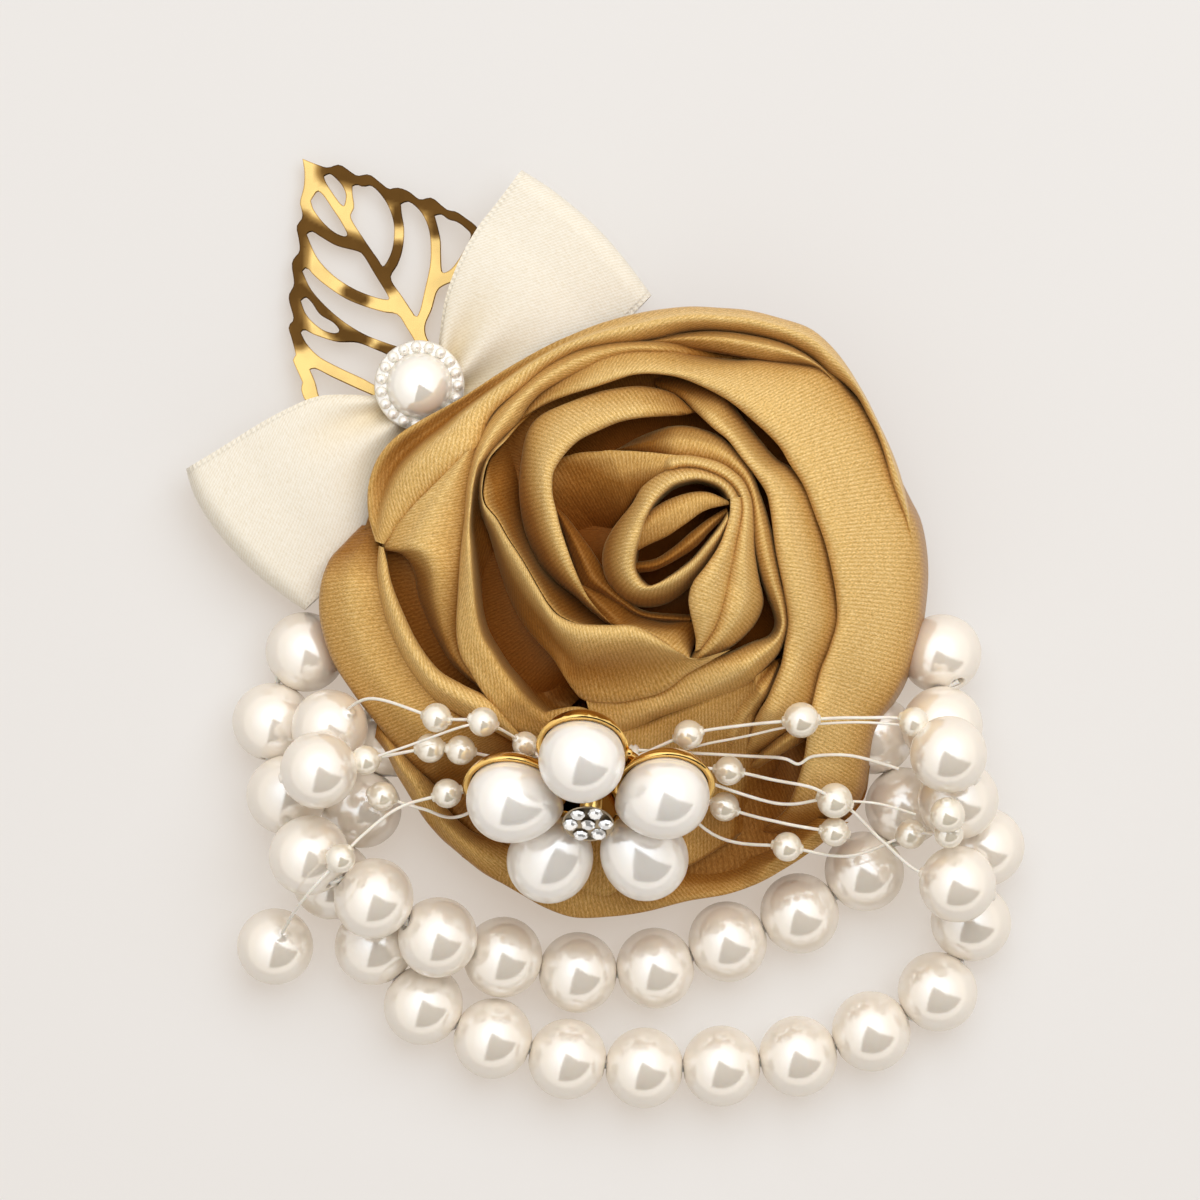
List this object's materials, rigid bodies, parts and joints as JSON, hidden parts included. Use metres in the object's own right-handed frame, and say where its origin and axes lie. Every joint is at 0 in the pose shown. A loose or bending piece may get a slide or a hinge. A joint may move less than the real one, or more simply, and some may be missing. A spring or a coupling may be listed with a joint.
{
  "type": "wrist corsage",
  "caption": "Wrist corsage: a rolled satin rose with a ribbon bow, stamped leaf, pearl brooch and pearl sprays on a felt backing, worn on strands of pearls strung on elastic.",
  "frame": {"origin": "Centre of the felt backing's underside, the face that lies against the wrist", "axes": "+Z out of the wrist through the rose; +Y away from the strands, towards the bow and the leaf; +X to the right seen from above"},
  "size_m": [0.0852, 0.0965, 0.0294],
  "materials": {
    "pearl": "pearlescent",
    "satin": "satin",
    "ribbon": "satin",
    "gold": "polished",
    "elastic": "satin",
    "line": "gloss",
    "felt": "matte",
    "board": "matte",
    "crystal": "faceted"
  },
  "bodies": {
    "corsage": {"backing_felt": "felt", "base_disc": "board", "back_elastic": "elastic", "satin_rose": "satin", "bow_ribbon": "ribbon", "bow_binding": "ribbon", "bow_cabochon": "pearl", "gold_leaf": "gold", "brooch_setting": "gold", "brooch_pearl_1": "pearl", "brooch_pearl_2": "pearl", "brooch_pearl_3": "pearl", "brooch_pearl_4": "pearl", "brooch_pearl_5": "pearl", "brooch_crystals": "crystal", "spray_binding": "line", "spray_left_upper": "line", "spray_left_middle": "line", "spray_left_short": "line", "spray_left_lower": "line", "spray_right_upper": "line", "spray_right_curl": "line", "spray_right_middle": "line", "spray_right_long": "line", "spray_right_short": "line", "spray_right_lower": "line"},
    "bracelet": {"upper_elastic": "elastic", "lower_elastic": "elastic"},
    "upper_pearl_01": {"upper_pearl_01": "pearl"},
    "upper_pearl_02": {"upper_pearl_02": "pearl"},
    "upper_pearl_03": {"upper_pearl_03": "pearl"},
    "upper_pearl_04": {"upper_pearl_04": "pearl"},
    "upper_pearl_05": {"upper_pearl_05": "pearl"},
    "upper_pearl_06": {"upper_pearl_06": "pearl"},
    "upper_pearl_07": {"upper_pearl_07": "pearl"},
    "upper_pearl_08": {"upper_pearl_08": "pearl"},
    "upper_pearl_09": {"upper_pearl_09": "pearl"},
    "upper_pearl_10": {"upper_pearl_10": "pearl"},
    "upper_pearl_11": {"upper_pearl_11": "pearl"},
    "upper_pearl_12": {"upper_pearl_12": "pearl"},
    "upper_pearl_13": {"upper_pearl_13": "pearl"},
    "upper_pearl_14": {"upper_pearl_14": "pearl"},
    "lower_pearl_01": {"lower_pearl_01": "pearl"},
    "lower_pearl_02": {"lower_pearl_02": "pearl"},
    "lower_pearl_03": {"lower_pearl_03": "pearl"},
    "lower_pearl_04": {"lower_pearl_04": "pearl"},
    "lower_pearl_05": {"lower_pearl_05": "pearl"},
    "lower_pearl_06": {"lower_pearl_06": "pearl"},
    "lower_pearl_07": {"lower_pearl_07": "pearl"},
    "lower_pearl_08": {"lower_pearl_08": "pearl"},
    "lower_pearl_09": {"lower_pearl_09": "pearl"},
    "lower_pearl_10": {"lower_pearl_10": "pearl"},
    "lower_pearl_11": {"lower_pearl_11": "pearl"},
    "lower_pearl_12": {"lower_pearl_12": "pearl"},
    "lower_pearl_13": {"lower_pearl_13": "pearl"},
    "lower_pearl_14": {"lower_pearl_14": "pearl"},
    "lower_pearl_15": {"lower_pearl_15": "pearl"},
    "lower_pearl_16": {"lower_pearl_16": "pearl"},
    "lower_pearl_17": {"lower_pearl_17": "pearl"}
  },
  "joints": [
    {"name": "bracelet_swing", "type": "hinge", "parent": "corsage", "child": "bracelet", "pos_m": [0, 0, 0.00225], "axis": [1, 0, 0], "range_deg": [0, 95]},
    {"name": "upper_pearl_01_spin", "type": "hinge", "parent": "bracelet", "child": "upper_pearl_01", "pos_m": [-0.0321, 0.00006, 0.00439], "axis": [-0.751, -0.6579, 0.0564], "continuous": true},
    {"name": "upper_pearl_02_spin", "type": "hinge", "parent": "bracelet", "child": "upper_pearl_02", "pos_m": [-0.03543, -0.00709, 0.00423], "axis": [-0.1231, -0.9816, 0.1461], "continuous": true},
    {"name": "upper_pearl_03_spin", "type": "hinge", "parent": "bracelet", "child": "upper_pearl_03", "pos_m": [-0.03392, -0.01447, 0.00655], "axis": [0.2508, -0.8646, 0.4354], "continuous": true},
    {"name": "upper_pearl_04_spin", "type": "hinge", "parent": "bracelet", "child": "upper_pearl_04", "pos_m": [-0.03153, -0.02053, 0.011], "axis": [0.6224, -0.724, 0.2974], "continuous": true},
    {"name": "upper_pearl_05_spin", "type": "hinge", "parent": "bracelet", "child": "upper_pearl_05", "pos_m": [-0.02497, -0.02489, 0.01083], "axis": [0.8314, -0.5371, -0.1424], "continuous": true},
    {"name": "upper_pearl_06_spin", "type": "hinge", "parent": "bracelet", "child": "upper_pearl_06", "pos_m": [-0.01852, -0.02893, 0.00877], "axis": [0.8376, -0.3967, -0.3754], "continuous": true},
    {"name": "upper_pearl_07_spin", "type": "hinge", "parent": "bracelet", "child": "upper_pearl_07", "pos_m": [-0.01193, -0.03106, 0.00499], "axis": [0.919, -0.2403, -0.3124], "continuous": true},
    {"name": "upper_pearl_08_spin", "type": "hinge", "parent": "bracelet", "child": "upper_pearl_08", "pos_m": [-0.00427, -0.03266, 0.00393], "axis": [0.9948, -0.0743, -0.07], "continuous": true},
    {"name": "upper_pearl_09_spin", "type": "hinge", "parent": "bracelet", "child": "upper_pearl_09", "pos_m": [0.00361, -0.03222, 0.0039], "axis": [0.9795, 0.2014, -0.0019], "continuous": true},
    {"name": "upper_pearl_10_spin", "type": "hinge", "parent": "bracelet", "child": "upper_pearl_10", "pos_m": [0.01101, -0.02951, 0.0039], "axis": [0.9349, 0.3549, 0.0002], "continuous": true},
    {"name": "upper_pearl_11_spin", "type": "hinge", "parent": "bracelet", "child": "upper_pearl_11", "pos_m": [0.01836, -0.02662, 0.0039], "axis": [0.8892, 0.4575, 0], "continuous": true},
    {"name": "upper_pearl_12_spin", "type": "hinge", "parent": "bracelet", "child": "upper_pearl_12", "pos_m": [0.02497, -0.02233, 0.0039], "axis": [0.7023, 0.7119, 0], "continuous": true},
    {"name": "upper_pearl_13_spin", "type": "hinge", "parent": "bracelet", "child": "upper_pearl_13", "pos_m": [0.02918, -0.01566, 0.0039], "axis": [0.0757, 0.9971, 0.0006], "continuous": true},
    {"name": "upper_pearl_14_spin", "type": "hinge", "parent": "bracelet", "child": "upper_pearl_14", "pos_m": [0.02603, -0.00842, 0.00391], "axis": [-0.243, 0.9685, -0.0535], "continuous": true},
    {"name": "lower_pearl_01_spin", "type": "hinge", "parent": "bracelet", "child": "lower_pearl_01", "pos_m": [-0.02322, -0.00871, 0.00385], "axis": [-0.0615, -0.9945, 0.0847], "continuous": true},
    {"name": "lower_pearl_02_spin", "type": "hinge", "parent": "bracelet", "child": "lower_pearl_02", "pos_m": [-0.0264, -0.01595, 0.0039], "axis": [-0.387, -0.9221, 0.003], "continuous": true},
    {"name": "lower_pearl_03_spin", "type": "hinge", "parent": "bracelet", "child": "lower_pearl_03", "pos_m": [-0.02933, -0.02327, 0.0039], "axis": [0.0974, -0.9952, -0.0002], "continuous": true},
    {"name": "lower_pearl_04_spin", "type": "hinge", "parent": "bracelet", "child": "lower_pearl_04", "pos_m": [-0.02504, -0.02988, 0.0039], "axis": [0.5888, -0.8083, 0], "continuous": true},
    {"name": "lower_pearl_05_spin", "type": "hinge", "parent": "bracelet", "child": "lower_pearl_05", "pos_m": [-0.02006, -0.03599, 0.0039], "axis": [0.7852, -0.6192, 0], "continuous": true},
    {"name": "lower_pearl_06_spin", "type": "hinge", "parent": "bracelet", "child": "lower_pearl_06", "pos_m": [-0.01296, -0.03941, 0.0039], "axis": [0.9367, -0.3502, 0], "continuous": true},
    {"name": "lower_pearl_07_spin", "type": "hinge", "parent": "bracelet", "child": "lower_pearl_07", "pos_m": [-0.00535, -0.04149, 0.0039], "axis": [0.9817, -0.1902, 0], "continuous": true},
    {"name": "lower_pearl_08_spin", "type": "hinge", "parent": "bracelet", "child": "lower_pearl_08", "pos_m": [0.00249, -0.0424, 0.0039], "axis": [0.999, -0.0456, 0], "continuous": true},
    {"name": "lower_pearl_09_spin", "type": "hinge", "parent": "bracelet", "child": "lower_pearl_09", "pos_m": [0.01039, -0.04221, 0.0039], "axis": [0.9972, 0.0749, 0], "continuous": true},
    {"name": "lower_pearl_10_spin", "type": "hinge", "parent": "bracelet", "child": "lower_pearl_10", "pos_m": [0.01822, -0.04122, 0.0039], "axis": [0.9743, 0.2251, 0], "continuous": true},
    {"name": "lower_pearl_11_spin", "type": "hinge", "parent": "bracelet", "child": "lower_pearl_11", "pos_m": [0.02568, -0.03868, 0.0039], "axis": [0.9073, 0.4205, 0], "continuous": true},
    {"name": "lower_pearl_12_spin", "type": "hinge", "parent": "bracelet", "child": "lower_pearl_12", "pos_m": [0.03245, -0.03462, 0.0039], "axis": [0.6733, 0.7394, -0.0004], "continuous": true},
    {"name": "lower_pearl_13_spin", "type": "hinge", "parent": "bracelet", "child": "lower_pearl_13", "pos_m": [0.03586, -0.0275, 0.00389], "axis": [0.3019, 0.9499, 0.0803], "continuous": true},
    {"name": "lower_pearl_14_spin", "type": "hinge", "parent": "bracelet", "child": "lower_pearl_14", "pos_m": [0.03716, -0.01982, 0.00515], "axis": [-0.1079, 0.8762, 0.4697], "continuous": true},
    {"name": "lower_pearl_15_spin", "type": "hinge", "parent": "bracelet", "child": "lower_pearl_15", "pos_m": [0.03431, -0.01492, 0.01064], "axis": [-0.3223, 0.9079, 0.2682], "continuous": true},
    {"name": "lower_pearl_16_spin", "type": "hinge", "parent": "bracelet", "child": "lower_pearl_16", "pos_m": [0.03275, -0.0074, 0.00882], "axis": [-0.0994, 0.9452, -0.311], "continuous": true},
    {"name": "lower_pearl_17_spin", "type": "hinge", "parent": "bracelet", "child": "lower_pearl_17", "pos_m": [0.03275, -0.00013, 0.00577], "axis": [-0.4044, 0.7631, -0.5042], "continuous": true}
  ]
}
